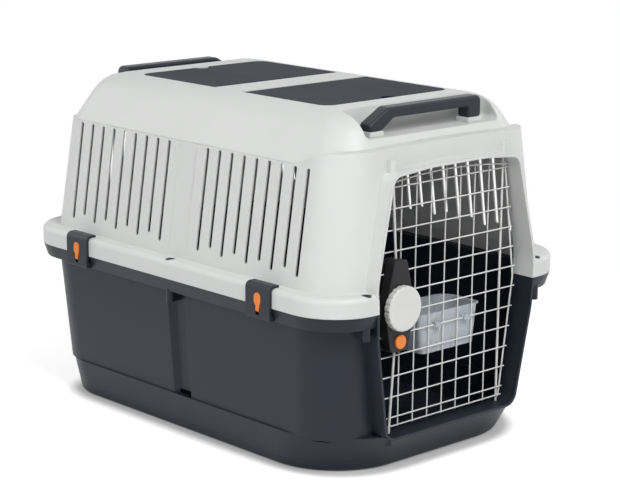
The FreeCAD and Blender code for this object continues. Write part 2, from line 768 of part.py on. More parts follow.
def upper_shell():
    """Rim, walls, brow and half the door frame. The roof meets it at the crease."""
    rim = slab(rim_half_x, rim_half_y, rim_half_y, rim_corner, parting_z, rim_top_z)
    rim = rim.makeFillet(upper_rim_round, edges_at_z(rim, rim_top_z))
    rim_hollow = slab(rim_half_x - wall, rim_half_y - wall, rim_half_y - wall, rim_corner - wall,
                      parting_z - cut_over, rim_top_z - wall)
    rim_hollow = rim_hollow.makeFillet(upper_rim_round - wall, edges_at_z(rim_hollow, rim_top_z - wall))
    outer = hood_sides(rim_top_z - wall, 0)
    inner = hood_sides(parting_z - cut_over, wall)
    shell = outer.fuse(rim).cut(rim_hollow.fuse(inner)).cut(crown(wall))

    bosses = [rod(cup_radius, Vector(x, y, parting_z), Vector(x, y, rim_top_z - wall)) for x, y in all_holes()]
    wall_y = wall - hood_top_half_y
    sockets = [socket_boss(x, y, head_z - socket_radius, socket_top_z, wall_y)
               for x, y in ((hinge_x, hinge_y), (bolt_at(head_z).x, lock_rod_y))]
    shell = shell.fuse(bosses + sockets + [door_frame(parting_z, socket_top_z)])

    cuts = vents()
    low = (hood_low_half_x, rim_top_z + upper_rim_round)
    high = (hood_top_half_x, crease_z)
    cuts += [groove(s, side_panel_depth, 0, low, high, groove_half_width) for s in (-1, 1)]
    cuts.append(doorway(rim_length, frame_back - cut_over).common(
        box(-rim_half_x, rim_half_x, -rim_length, 0, parting_z - cut_over, socket_top_z)))
    for x, y in all_holes():
        cuts.append(rod(hole_radius, Vector(x, y, parting_z - cut_over), Vector(x, y, rim_top_z)))
        cuts.append(rod(counterbore_radius, Vector(x, y, rim_top_z - counterbore_depth),
                        Vector(x, y, rim_top_z + cut_over)))
    high = head_z + socket_depth
    cuts.append(rod(rod_radius + running_gap, Vector(hinge_x, hinge_y, parting_z), Vector(hinge_x, hinge_y, high)))
    cuts.append(rod(rod_radius + loose_gap, bolt_at(parting_z), bolt_at(high)))
    return flat(shell.cut(cuts))


# Roof: the crown of the hood with the finger recesses and the seats of the lids
def roof():
    outer = crown(0)
    shell = outer.cut([crown(wall), hood_sides(rim_top_z, 0)])
    shell = shell.fuse(both_ends([finger_recess(-wall).common(outer), hinge_block(), finger_well(), lid_ledge()]))
    cuts = both_ends([finger_recess(0)] + lid_seat_cuts())
    for x in (-handle_screw_x, handle_screw_x):
        for sy in (-1, 1):
            place = Vector(x, sy * (handle_front_y - handle_depth / 2), 0)
            cuts.append(rod(handle_screw_radius + running_gap, place + ALONG_Z * (recess_floor_z - wall - cut_over),
                            place + ALONG_Z * recess_floor_z))
    return flat(shell.cut(cuts))


def front_tray():
    """Bin under the front lid, bonded by its flange to the ledge that the lid lies on."""
    top = lid_seat_z - wall
    low = lid_seat_z - tray_depth
    flange = tray(tray_wall + tray_flange, top - tray_wall, top)
    bin_form = tray(tray_wall, low - tray_wall, top).fuse(flange)
    return flat(bin_form.cut([tray(0, low, roof_z), hinge_block(), finger_well()]))


# Lids
def front_lid():
    seat_z = lid_seat_z
    plate = lid_slab(0, seat_z, roof_z)
    barrel = lid_axis_rod(lid_barrel, lid_half_x)
    half = lid_half_x - lid_skirt_inset
    front = lid_outer_y - lid_skirt_inset
    rear = -lid_inner_y - tray_hinge_ledge - loose_gap - lid_skirt_wall
    inside = lid_skirt_wall
    ring = slab(half, front, rear, tray_corner - lid_skirt_wall, seat_z - lid_skirt, seat_z)
    ring = ring.cut(slab(half - inside, front - inside, rear - inside, tray_corner - 2 * lid_skirt_wall,
                         seat_z - lid_skirt, seat_z))
    bore = lid_axis_rod(lid_pin_radius + running_gap, lid_half_x + cut_over)
    notch = lid_notch(seat_z - lid_skirt - cut_over, roof_z + cut_over)
    return flat(plate.fuse([barrel, ring]).cut([bore, notch]))


def front_lid_pin():
    return lid_axis_rod(lid_pin_radius, lid_half_x + lid_gap + lid_pin_seat)


# Handles
def front_handle():
    low = recess_floor_z
    under_z = handle_top_z - handle_grip
    inner = handle_end_half_x - handle_foot
    half = [(handle_end_half_x, low), (handle_end_half_x, handle_end_z), (handle_grip_half_x, handle_top_z)]
    points = [(-inner, low), (-inner, under_z), (inner, under_z), (inner, low)] + half
    points += [(-x, z) for x, z in reversed(half)]
    bend = handle_under_corner
    radii = [0, bend, bend, 0, 0, bend, 2 * bend, 2 * bend, bend, 0]
    bar = level_profile(points, radii, -handle_front_y, handle_depth - handle_front_y)
    ends = [e for e in bar.Edges if e.BoundBox.YLength < same_point and e.BoundBox.ZMax > low + handle_round]
    bar = bar.makeFillet(handle_round, ends)
    for x in (-handle_screw_x, handle_screw_x):
        place = Vector(x, handle_depth / 2 - handle_front_y, low)
        bar = bar.cut(rod(handle_screw_radius + running_gap, place - ALONG_Z * cut_over,
                          place + ALONG_Z * handle_screw_grip))
    return flat(bar)


def screw(radius, head_radius, head_height, head_place, direction, length):
    """Pan screw: its head starts at head_place and its shank runs on along direction."""
    shoulder = head_place + direction * head_height
    return rod(head_radius, head_place, shoulder).fuse(rod(radius, shoulder, shoulder + direction * length))


def handle_screws():
    screws = []
    for x in (-handle_screw_x, handle_screw_x):
        for sy in (-1, 1):
            y = sy * (handle_front_y - handle_depth / 2)
            head = Vector(x, y, recess_floor_z - wall - screw_head_height)
            screws.append(screw(handle_screw_radius, screw_head_radius, screw_head_height, head, ALONG_Z,
                                wall + handle_screw_grip))
    return Part.makeCompound(screws)


# Wire door
def edge_half_x(z):
    """Half width of the door's bent edge wire at height z."""
    if z > parting_z:
        share = (z - parting_z) / (edge_top_z - parting_z)
        return edge_mid_half_x + (edge_top_half_x - edge_mid_half_x) * share
    share = (parting_z - z) / (parting_z - edge_low_z)
    return edge_mid_half_x + (edge_low_half_x - edge_mid_half_x) * share


def bent_wire(points, radius, bend):
    """Round wire along three points, with one bend."""
    start, corner, end = points
    back = (start - corner).normalize()
    on = (end - corner).normalize()
    half = back.getAngle(on) / 2
    run = bend / math.tan(half)
    reach = bend / math.sin(half) - bend
    first, last = corner + back * run, corner + on * run
    middle = corner + (back + on).normalize() * reach
    path = Part.Wire([Part.LineSegment(start, first).toShape(), Part.Arc(first, middle, last).toShape(),
                      Part.LineSegment(last, end).toShape()])
    ring = Part.Wire(Part.makeCircle(radius, start, corner - start))
    return path.makePipeShell([ring], True, True)


def door_grille():
    wires = []
    for row in range(mesh_rows):
        z = mesh_top_z - row * mesh_pitch_z
        half = edge_half_x(z) + wire_stub
        wires.append(rod(wire_radius, Vector(-half, mesh_y, z), Vector(half, mesh_y, z)))
    half = edge_half_x(edge_low_z) + wire_stub
    wires.append(rod(wire_radius, Vector(-half, mesh_y, edge_low_z), Vector(half, mesh_y, edge_low_z)))
    end = edge_top_half_x + wire_stub
    arch = Part.Arc(Vector(-end, mesh_y, edge_top_z), Vector(0, mesh_y, edge_top_z + edge_arch_rise),
                    Vector(end, mesh_y, edge_top_z)).toShape()
    ring = Part.Wire(Part.makeCircle(wire_radius, arch.valueAt(arch.FirstParameter),
                                     arch.tangentAt(arch.FirstParameter)))
    wires.append(Part.Wire([arch]).makePipeShell([ring], True, True))
    for column in range(mesh_columns):
        x = (column - (mesh_columns - 1) / 2) * mesh_pitch_x
        rise = edge_arch_rise * (1 - (x / end) ** 2)
        wires.append(rod(wire_radius, Vector(x, column_y, edge_low_z - wire_stub),
                         Vector(x, column_y, edge_top_z + rise + wire_stub)))
    for side in (-1, 1):
        points = [Vector(side * edge_low_half_x, edge_y, edge_low_z - wire_stub),
                  Vector(side * edge_mid_half_x, edge_y, parting_z),
                  Vector(side * edge_top_half_x, edge_y, edge_top_z + wire_stub)]
        wires.append(bent_wire(points, edge_wire_radius, edge_bend))
    return Part.makeCompound(wires)


def door_hinge_rod():
    return rod(rod_radius, Vector(hinge_x, hinge_y, sill_z - socket_depth),
               Vector(hinge_x, hinge_y, head_z + socket_depth - rod_rest_gap))


# Lock on the door
def lock_outline(inset):
    half = [(lock_low_width / 2, lock_low_z), (lock_mid_width / 2, lock_z), (lock_top_width / 2, lock_top_z)]
    points = [(lock_x + x, z) for x, z in half] + [(lock_x - x, z) for x, z in reversed(half)]
    radii = [lock_corner, lock_mid_width, lock_corner, lock_corner, lock_mid_width, lock_corner]
    wire = rounded_outline(points, radii, lambda u, v: Vector(u, lock_front_y, v))
    return wire.makeOffset2D(-inset) if inset else wire


def lock_screw_places():
    high = [(lock_x + s * lock_screw_high_x, lock_z + lock_screw_rise) for s in (-1, 1)]
    low = [(lock_x + s * lock_screw_low_x, lock_z - lock_screw_fall) for s in (-1, 1)]
    return high + low


def lock_housing():
    depth = mesh_front_y - lock_front_y
    case = Part.Face(lock_outline(0)).extrude(ALONG_Y * depth)
    front = [e for e in case.Edges if e.BoundBox.YMax < lock_front_y + same_point]
    case = case.makeFillet(lock_wall, front)
    hollow = Part.Face(lock_outline(lock_wall)).extrude(ALONG_Y * depth)
    hollow.translate(ALONG_Y * lock_wall)
    case = case.cut(hollow)
    pillars = [rod(lock_pillar_radius, Vector(x, lock_inner_y, z), Vector(x, mesh_front_y, z))
               for x, z in lock_screw_places()]
    case = case.fuse(pillars)
    cuts = [rod(lock_screw_radius + running_gap, Vector(x, lock_inner_y, z), Vector(x, mesh_front_y, z))
            for x, z in lock_screw_places()]
    for end_z in (lock_low_z - cut_over, lock_top_z + cut_over):
        cuts.append(rod(rod_radius + running_gap, bolt_at(lock_z), bolt_at(end_z)))
    for radius, z in ((shaft_radius + running_gap, lock_z), (button_radius + button_gap, button_z)):
        cuts.append(rod(radius, Vector(lock_x, lock_front_y - cut_over, z), Vector(lock_x, lock_inner_y, z)))
    return flat(case.cut(cuts))


def lock_back_plate():
    plate = Part.Face(lock_outline(0)).extrude(ALONG_Y * lock_plate)
    plate.translate(ALONG_Y * (mesh_back_y - lock_front_y))
    back = [e for e in plate.Edges if e.BoundBox.YMin > mesh_back_y + lock_plate - same_point]
    plate = plate.makeFillet(lock_plate / 3, back)
    holes = [rod(lock_screw_radius + running_gap, Vector(x, mesh_back_y, z), Vector(x, mesh_back_y + lock_plate, z))
             for x, z in lock_screw_places()]
    return flat(plate.cut(holes))


def lock_screws():
    length = mesh_back_y + lock_plate - lock_front_y - 2 * lock_wall
    head_y = mesh_back_y + lock_plate + screw_head_height
    return Part.makeCompound([screw(lock_screw_radius, lock_screw_head_radius, screw_head_height,
                                    Vector(x, head_y, z), -ALONG_Y, length) for x, z in lock_screw_places()])


def crank_pin_place(angle):
    turn = math.radians(angle)
    return Vector(lock_x + crank_radius * math.cos(turn), 0, lock_z + crank_radius * math.sin(turn))


def lock_crank():
    """Disc behind the case front, with a shaft to the knob and two pins for the bolts."""
    front = lock_inner_y + loose_gap
    disc = rod(crank_disc_radius, Vector(lock_x, front, lock_z), Vector(lock_x, front + crank_disc, lock_z))
    tip = shaft_tip_y
    shaft = rod(shaft_radius, Vector(lock_x, tip, lock_z), Vector(lock_x, front, lock_z))
    flat_z = lock_z + shaft_radius - shaft_flat
    shaft = shaft.cut(box(lock_x - shaft_radius, lock_x + shaft_radius, tip, lock_front_y - knob_gap,
                          flat_z, lock_z + shaft_radius))
    pins = []
    for angle in (-crank_half_angle, 180 - crank_half_angle):
        place = crank_pin_place(angle)
        pins.append(rod(crank_pin_radius, place + ALONG_Y * front,
                        place + ALONG_Y * (lock_rod_y + yoke_thick / 2)))
    crank = disc.fuse([shaft] + pins)
    bore = rod(knob_screw_radius + running_gap, Vector(lock_x, tip - cut_over, lock_z),
               Vector(lock_x, front + crank_disc, lock_z))
    return flat(crank.cut(bore))


def lock_knob():
    """Scalloped knob with a hub round the flattened shaft."""
    back = lock_front_y - knob_gap
    front = lock_front_y - knob_thick - knob_gap
    disc = rod(knob_radius, Vector(lock_x, front, lock_z), Vector(lock_x, back, lock_z))
    disc = disc.makeFillet(knob_round, [e for e in disc.Edges if e.BoundBox.YMax < front + same_point])
    dents = []
    for i in range(knob_lobes):
        turn = 2 * math.pi * i / knob_lobes
        reach = knob_radius + knob_lobe_radius * math.cos(math.pi / 4)
        place = Vector(lock_x + reach * math.cos(turn), 0, lock_z + reach * math.sin(turn))
        dents.append(rod(knob_lobe_radius, place + ALONG_Y * (front - cut_over), place + ALONG_Y * (back + cut_over)))
    knob = disc.cut(dents)
    tip = shaft_tip_y
    hollow = rod(knob_radius - knob_lobe_radius - wall, Vector(lock_x, tip - wall, lock_z),
                 Vector(lock_x, back, lock_z))
    hub = rod(knob_hub_radius, Vector(lock_x, tip - wall, lock_z), Vector(lock_x, back, lock_z))
    knob = knob.cut(hollow.cut(hub))
    seat = rod(shaft_radius + running_gap, Vector(lock_x, tip, lock_z), Vector(lock_x, back, lock_z))
    flat_z = lock_z + shaft_radius - shaft_flat + running_gap
    seat = seat.cut(box(lock_x - knob_hub_radius, lock_x + knob_hub_radius, tip, back, flat_z, lock_z + knob_radius))
    thread = rod(knob_screw_radius + running_gap, Vector(lock_x, tip - wall, lock_z), Vector(lock_x, tip, lock_z))
    return flat(knob.cut([seat, thread]))


def knob_screw():
    head = Vector(lock_x, lock_inner_y + loose_gap + crank_disc + knob_screw_head, lock_z)
    length = head.y - knob_screw_head - shaft_tip_y + wall - loose_gap
    return screw(knob_screw_radius, 2 * knob_screw_radius, knob_screw_head, head, -ALONG_Y, length)


def lock_rod(up):
    """Round bolt with a slotted yoke for its crank pin: up is 1 for the upper one, -1 for the lower.

    Both are drawn as the upper one, and the lower is then turned over about the knob's axis.
    """
    half_angle = math.radians(crank_half_angle)
    side = crank_radius * math.cos(half_angle)
    drop = crank_radius * math.sin(half_angle)
    y0 = lock_rod_y - yoke_thick / 2
    y1 = lock_rod_y + yoke_thick / 2
    slot_half = crank_pin_radius + yoke_slot_gap
    spread = crank_travel * rod_lean_share
    slot_left = side - slot_half - spread
    slot_right = crank_radius + slot_half + spread
    left = slot_left - yoke_wall
    right = slot_right + yoke_wall
    low = -drop - slot_half - yoke_wall
    top = yoke_joggle + yoke_head

    def bolt_point(z):
        return Vector(up * (rod_offset - z * rod_lean_share), lock_rod_y, z)

    root = bolt_point(top).x - rod_radius - yoke_wall
    outline = [(left, low), (right, low), (right, top)]
    if root < left:
        outline += [(root, top), (root, yoke_joggle), (left, yoke_joggle)]
    else:
        outline.append((left, top))
    plate = level_profile(outline, [yoke_wall] * 3 + [0] * (len(outline) - 3), y0, y1)
    slot = [(slot_left, -drop - slot_half), (slot_right, -drop - slot_half),
            (slot_right, slot_half - drop), (slot_left, slot_half - drop)]
    plate = plate.cut(level_profile(slot, [slot_half / 2] * len(slot), y0, y1))
    tip = head_z - rod_rest_gap - lock_z if up > 0 else lock_z - sill_z - rod_rest_gap
    shape = plate.fuse(rod(rod_radius, bolt_point(yoke_joggle), bolt_point(tip)))
    if up < 0:
        shape.rotate(Vector(0, lock_rod_y, 0), ALONG_Y, 180)
    shape.translate(Vector(lock_x, 0, lock_z))
    return flat(shape)


def lock_button():
    front = lock_front_y - button_proud
    inner = lock_inner_y + loose_gap
    cap = rod(button_radius, Vector(lock_x, front, button_z), Vector(lock_x, inner, button_z))
    cap = cap.makeFillet(button_round, [e for e in cap.Edges if e.BoundBox.YMax < front + same_point])
    flange = rod(button_radius + button_flange_rim, Vector(lock_x, inner, button_z),
                 Vector(lock_x, inner + button_flange, button_z))
    legs = []
    for s in (-1, 1):
        x = lock_x + s * button_leg_offset
        legs.append(box(x - button_leg / 2, x + button_leg / 2, inner, inner + button_flange + button_leg_length,
                        button_z - button_leg, button_z + button_leg))
    return flat(cap.fuse([flange] + legs))


# Water bowl
def water_bowl():
    front = mesh_back_y + bowl_gap
    half = bowl_width / 2 - bowl_flange
    depth = bowl_depth - bowl_flange

    def cup(inset, low_z, high_z):
        sections = []
        for z in (low_z, high_z):
            draw = bowl_draft * (bowl_rim_z - z) / (bowl_rim_z - bowl_base_z) + inset
            points = [(draw - half, front + inset), (half - draw, front + inset),
                      (half - draw, front + depth - draw), (draw - half, front + depth - draw)]
            radii = [bowl_corner / 3, bowl_corner / 3, bowl_corner, bowl_corner]
            sections.append(rounded_outline(points, radii, lambda u, v, z=z: Vector(bowl_x + u, v, z)))
        return Part.makeLoft(sections, True, True)

    body = cup(0, bowl_base_z, bowl_rim_z).cut(cup(bowl_wall, bowl_base_z + bowl_wall, bowl_rim_z + cut_over))
    wide = half + bowl_flange
    points = [(-wide, front), (wide, front), (wide, front + bowl_depth), (-wide, front + bowl_depth)]
    radii = [bowl_corner / 3, bowl_corner / 3, bowl_corner + bowl_flange, bowl_corner + bowl_flange]
    lip = Part.Face(rounded_outline(points, radii, lambda u, v: Vector(bowl_x + u, v, bowl_rim_z - bowl_wall)))
    lip = lip.extrude(ALONG_Z * bowl_wall).cut(cup(bowl_wall, bowl_base_z, bowl_rim_z + cut_over))
    hooks = []
    for s in (-1, 1):
        x = bowl_x + s * mesh_pitch_x
        low = bowl_wire_z + wire_radius + bowl_hook_gap
        tip = mesh_front_y - bowl_hook_gap - bowl_hook_thick
        half_hook = bowl_hook_width / 2
        arm = box(x - half_hook, x + half_hook, tip, front + bowl_wall, low, low + bowl_hook_thick)
        lip_down = box(x - half_hook, x + half_hook, tip, tip + bowl_hook_thick, low - bowl_hook_drop, low)
        hooks += [arm, lip_down]
    return flat(body.fuse([lip] + hooks))


# Side latches, drawn for the right side and mirrored
def latch_slot(inset, low_shift):
    """Keyhole outline of the slider in Y and Z, with its lower part drawn down by low_shift."""
    head = slider_head_radius - inset
    tail = slider_tail_half - inset
    top = slider_head_z + slider_head_radius - inset
    low = slider_tail_z + inset - low_shift
    neck = slider_head_z - slider_head_radius - low_shift
    points = [(-tail, low), (tail, low), (tail, neck - slider_head_radius), (head, neck + inset),
              (head, top), (-head, top), (-head, neck + inset),
              (-tail, neck - slider_head_radius)]
    radii = [tail / 2, tail / 2, 0, 0, head, head, 0, 0]
    return points, radii


def latch():
    half = latch_width / 2
    inner = rim_half_x + latch_gap
    outer = inner + latch_plate
    top = rim_top_z + latch_gap + latch_top_thick
    shelf = rim_top_z + latch_gap
    low = latch_axis_z - latch_barrel
    foot = latch_axis_z + latch_barrel
    outline = [(latch_axis_x, low), (outer, low), (outer, top),
               (rim_half_x - latch_hook, top), (rim_half_x - latch_hook, shelf), (inner, shelf),
               (inner, foot), (latch_axis_x, foot)]
    radii = [0, latch_round / 2, 2 * latch_round, latch_top_thick / 3, 0, latch_round, 0, 0]
    wire = rounded_outline(outline, radii, lambda u, v: Vector(u, -half, v))
    body = Part.Face(wire).extrude(ALONG_Y * latch_width)
    axis = Vector(latch_axis_x, 0, latch_axis_z)
    barrel = rod(latch_barrel, axis - ALONG_Y * half, axis + ALONG_Y * half)
    bore = rod(latch_pin_radius + running_gap, axis - ALONG_Y * latch_width, axis + ALONG_Y * latch_width)
    window, radii = latch_slot(-slider_gap, slider_travel)
    window = side_profile(window, radii, inner - cut_over / 2, outer + cut_over)
    room, radii = latch_slot(-slider_gap - slider_flange_rim, slider_travel)
    room = side_profile(room, radii, inner - latch_gap / 2, inner + slider_flange + slider_gap)
    return flat(body.fuse(barrel).cut([bore, window, room]))


def latch_slider():
    inner = rim_half_x + latch_gap
    outer = inner + latch_plate
    points, radii = latch_slot(0, 0)
    face = side_profile(points, radii, inner, outer + slider_proud)
    points, radii = latch_slot(-slider_flange_rim, 0)
    flange = side_profile(points, radii, inner, inner + slider_flange)
    return flat(face.fuse(flange))


def latch_pin():
    seat = latch_width / 2 + latch_gap + latch_pin_seat
    axis = Vector(latch_axis_x, 0, latch_axis_z)
    return rod(latch_pin_radius, axis - ALONG_Y * seat, axis + ALONG_Y * seat)


def latch_nodes():
    nodes = {}
    for kind, shape in (("latch", latch()), ("latch_slider", latch_slider()), ("latch_pin", latch_pin())):
        for side_name, sx in (("left", -1), ("right", 1)):
            for end_name, sy in (("front", -1), ("rear", 1)):
                copy = shape if sx > 0 else mirrored(shape, ALONG_X)
                copy = copy.copy()
                copy.translate(ALONG_Y * (sy * latch_y))
                nodes[f"{kind}_{side_name}_{end_name}"] = copy
    return nodes


# Every node of the carrier
lid, lid_pin, handle, bin_shape = front_lid(), front_lid_pin(), front_handle(), front_tray()
nodes = {
    "lower_shell": lower_shell(),
    "upper_shell": upper_shell(),
    "roof": roof(),
    "front_tray": bin_shape,
    "rear_tray": mirrored(bin_shape, ALONG_Y),
    "front_lid": lid,
    "rear_lid": mirrored(lid, ALONG_Y),
    "front_lid_pin": lid_pin,
    "rear_lid_pin": mirrored(lid_pin, ALONG_Y),
    "front_handle": handle,
    "rear_handle": mirrored(handle, ALONG_Y),
    "handle_screws": handle_screws(),
    "door_grille": door_grille(),
    "door_hinge_rod": door_hinge_rod(),
    "lock_housing": lock_housing(),
    "lock_back_plate": lock_back_plate(),
    "lock_screws": lock_screws(),
    "lock_crank": lock_crank(),
    "lock_knob": lock_knob(),
    "knob_screw": knob_screw(),
    "upper_lock_rod": lock_rod(1),
    "lower_lock_rod": lock_rod(-1),
    "lock_button": lock_button(),
    "water_bowl": water_bowl(),
}
nodes.update(latch_nodes())
for name, shape in nodes.items():
    shape.exportStep(f"parts/{name}.step")
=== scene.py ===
import math

import bmesh
import bpy
from mathutils import Matrix, Vector


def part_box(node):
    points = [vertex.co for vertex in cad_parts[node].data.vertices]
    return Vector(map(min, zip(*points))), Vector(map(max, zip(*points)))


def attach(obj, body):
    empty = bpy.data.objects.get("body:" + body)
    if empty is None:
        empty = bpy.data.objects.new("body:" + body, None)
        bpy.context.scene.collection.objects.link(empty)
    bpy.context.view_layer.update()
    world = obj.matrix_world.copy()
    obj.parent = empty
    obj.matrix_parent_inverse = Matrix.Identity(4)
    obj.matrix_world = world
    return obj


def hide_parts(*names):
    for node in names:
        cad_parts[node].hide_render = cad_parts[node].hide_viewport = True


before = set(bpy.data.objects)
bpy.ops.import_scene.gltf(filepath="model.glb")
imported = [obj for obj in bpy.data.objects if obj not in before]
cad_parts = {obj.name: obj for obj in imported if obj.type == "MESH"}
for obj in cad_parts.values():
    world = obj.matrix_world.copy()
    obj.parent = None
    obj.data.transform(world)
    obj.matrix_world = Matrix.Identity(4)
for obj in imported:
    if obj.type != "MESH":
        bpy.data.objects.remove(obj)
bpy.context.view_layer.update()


# Lower shell: the dark tub that carries everything. One injection moulding in polypropylene, drafted so
# that it leaves the mould, with a fine spark-eroded grain outside. It stands on its flat bottom, where
# the edges are scuffed pale.
def new_material(name):
    """A material, its nodes, its links, its shader and the place on the piece in metres."""
    material = bpy.data.materials.new(name)
    material.use_nodes = True
    nodes, links = material.node_tree.nodes, material.node_tree.links
    place = nodes.new("ShaderNodeTexCoord").outputs["Object"]
    return material, nodes, links, nodes["Principled BSDF"], place


def noise(nodes, links, place, scale, detail, stretch=(1, 1, 1)):
    """Noise in the piece's own metres, with scale in cells per metre."""
    mapping = nodes.new("ShaderNodeMapping")
    mapping.inputs["Scale"].default_value = stretch
    links.new(place, mapping.inputs["Vector"])
    texture = nodes.new("ShaderNodeTexNoise")
    texture.inputs["Scale"].default_value = scale
    texture.inputs["Detail"].default_value = detail
    links.new(mapping.outputs["Vector"], texture.inputs["Vector"])
    return texture.outputs["Fac"]


def ranged(nodes, links, value, low, high, to_low, to_high):
    """A value from low to high, taken to the range from to_low to to_high."""
    node = nodes.new("ShaderNodeMapRange")
    node.inputs["From Min"].default_value = low
    node.inputs["From Max"].default_value = high
    node.inputs["To Min"].default_value = to_low
    node.inputs["To Max"].default_value = to_high
    links.new(value, node.inputs["Value"])
    return node.outputs["Result"]


def product(nodes, links, first, second):
    """Two values multiplied."""
    node = nodes.new("ShaderNodeMath")
    node.operation = "MULTIPLY"
    links.new(first, node.inputs[0])
    links.new(second, node.inputs[1])
    return node.outputs["Value"]


def mixed(nodes, links, share, first, second):
    """Colour between first and second, which are sockets or plain colours."""
    node = nodes.new("ShaderNodeMix")
    node.data_type = "RGBA"
    links.new(share, node.inputs[0])
    for socket, colour in ((node.inputs[6], first), (node.inputs[7], second)):
        if isinstance(colour, tuple):
            socket.default_value = (*colour, 1)
        else:
            links.new(colour, socket)
    return node.outputs[2]


def bumped(nodes, links, height, depth):
    """Bump node for a relief that is depth metres deep."""
    bump = nodes.new("ShaderNodeBump")
    bump.inputs["Strength"].default_value = 1.0
    bump.inputs["Distance"].default_value = depth
    links.new(height, bump.inputs["Height"])
    return bump


def moulded_plastic(name, colour, roughness, grain, edge, gloss=0.5, drift_share=0.05, scuff_height=0.0):
    """Plastic with a grain, its size and depth in metres, and edges that look rounded by edge.

    The colour drifts by drift_share, and pale scuffs lie below scuff_height.
    """
    material, nodes, links, shader, place = new_material(name)
    drift = noise(nodes, links, place, scale=7, detail=4)
    pale = tuple(min(c * (1 + drift_share), 1) for c in colour)
    deep = tuple(c * (1 - drift_share) for c in colour)
    surface = mixed(nodes, links, ranged(nodes, links, drift, 0.3, 0.7, 0, 1), deep, pale)
    if scuff_height:
        scuffed = tuple(c * 0.6 + 0.12 for c in colour)
        height = nodes.new("ShaderNodeSeparateXYZ")
        links.new(place, height.inputs["Vector"])
        low_down = ranged(nodes, links, height.outputs["Z"], scuff_height, 0, 0, 0.3)
        scratches = noise(nodes, links, place, scale=60, detail=6, stretch=(1, 1, 12))
        scratched = ranged(nodes, links, scratches, 0.58, 0.72, 0, 1)
        surface = mixed(nodes, links, product(nodes, links, low_down, scratched), surface, scuffed)
    links.new(surface, shader.inputs["Base Color"])
    worn, dull = roughness - 0.05, roughness + 0.05
    links.new(ranged(nodes, links, drift, 0.2, 0.8, worn, dull), shader.inputs["Roughness"])

    corner = nodes.new("ShaderNodeBevel")
    corner.samples = 6
    corner.inputs["Radius"].default_value = edge
    grain_size, grain_depth = grain
    relief = bumped(nodes, links, noise(nodes, links, place, scale=1 / grain_size, detail=2), grain_depth)
    links.new(corner.outputs["Normal"], relief.inputs["Normal"])
    links.new(relief.outputs["Normal"], shader.inputs["Normal"])
    shader.inputs["IOR"].default_value = 1.49
    shader.inputs["Specular IOR Level"].default_value = gloss
    return material


def finish_node(node, material):
    """Give a node of the frame its finish."""
    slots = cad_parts[node].data.materials
    slots.clear()
    slots.append(material)


tub_plastic = moulded_plastic("tub_plastic", (0.017, 0.021, 0.032), 0.42, (0.0009, 0.000012), 0.0012,
                              gloss=0.25, scuff_height=0.03)
finish_node("lower_shell", tub_plastic)


# Upper shell and roof: the pale hood, one moulding in the same plastic and grain as the tub, with the
# vents, the finger recesses, the lid seats and the upper half of the door frame. It stands on the tub's
# rim, and the two bins are bonded under the seats.
hood_plastic = moulded_plastic("hood_plastic", (0.66, 0.67, 0.66), 0.46, (0.0009, 0.000014), 0.0014,
                               drift_share=0.02)
for node in ("upper_shell", "roof", "front_tray", "rear_tray"):
    finish_node(node, hood_plastic)


# Handles: two dark grips across the ends of the roof, moulded solid. Each stands on two low pads of the
# hood and is held from inside by two pan screws in zinc-plated steel. Hands polish the grips smoother
# than the shells.
grip_plastic = moulded_plastic("grip_plastic", (0.020, 0.022, 0.031), 0.40, (0.0007, 0.000008), 0.0010,
                               gloss=0.3)


def plated_steel(name):
    """Zinc plate on turned steel: cloudy gloss with fine turning lines."""
    material, nodes, links, shader, place = new_material(name)
    dark_zinc, pale_zinc = (0.46, 0.47, 0.49), (0.62, 0.62, 0.61)
    cloud = noise(nodes, links, place, scale=400, detail=3)
    links.new(mixed(nodes, links, cloud, dark_zinc, pale_zinc), shader.inputs["Base Color"])
    links.new(ranged(nodes, links, cloud, 0.2, 0.8, 0.28, 0.46), shader.inputs["Roughness"])
    turning_lines = noise(nodes, links, place, scale=900, detail=2, stretch=(1, 1, 6))
    relief = bumped(nodes, links, turning_lines, 0.00001)
    links.new(relief.outputs["Normal"], shader.inputs["Normal"])
    shader.inputs["Metallic"].default_value = 1.0
    return material


screw_steel = plated_steel("screw_steel")
finish_node("handle_screws", screw_steel)

grip_low, grip_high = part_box("front_handle")
grip_floor, grip_top = grip_low.z, grip_high.z
grip_thickness = 0.015
grip_under = grip_top - grip_thickness
short_end_inset = 0.010
long_end, short_end = grip_low.x, grip_high.x - short_end_inset
long_foot, short_foot = 0.024, 0.026
slope_under, slope_over = 0.046, 0.036
slope_rise = 0.017
seat_rise, seat_lip = 0.007, 0.001
foot_floor = grip_floor + seat_rise
grip_round = 0.004
# Each corner of the side view: along, up and the radius that it is rounded to.
grip_outline = [
    (long_end, foot_floor, 0),
    (long_end + long_foot, foot_floor, 0),
    (long_end + slope_under, grip_under, 0.012),
    (short_end - short_foot, grip_under, 0.005),
    (short_end - short_foot, foot_floor, 0),
    (short_end, foot_floor, 0),
    (short_end, grip_top, 0.009),
    (long_end + slope_over, grip_top, 0.018),
    (long_end, grip_floor + slope_rise, 0.006),
]


def rounded_corners(outline, steps=6):
    """Points of a closed outline whose corners are arcs of their own radii."""
    points = []
    for i, (along, rise, radius) in enumerate(outline):
        here = Vector((along, rise))
        if not radius:
            points.append(here)
            continue
        back = (Vector(outline[i - 1][:2]) - here).normalized()
        on = (Vector(outline[(i + 1) % len(outline)][:2]) - here).normalized()
        half = back.angle(on) / 2
        centre = here + (back + on).normalized() * (radius / math.sin(half))
        first = here + back * (radius / math.tan(half)) - centre
        last = here + on * (radius / math.tan(half)) - centre
        start = math.atan2(first.y, first.x)
        sweep = math.remainder(math.atan2(last.y, last.x) - start, 2 * math.pi)
        for step in range(steps + 1):
            angle = start + sweep * step / steps
            points.append(centre + Vector((math.cos(angle), math.sin(angle))) * radius)
    return points


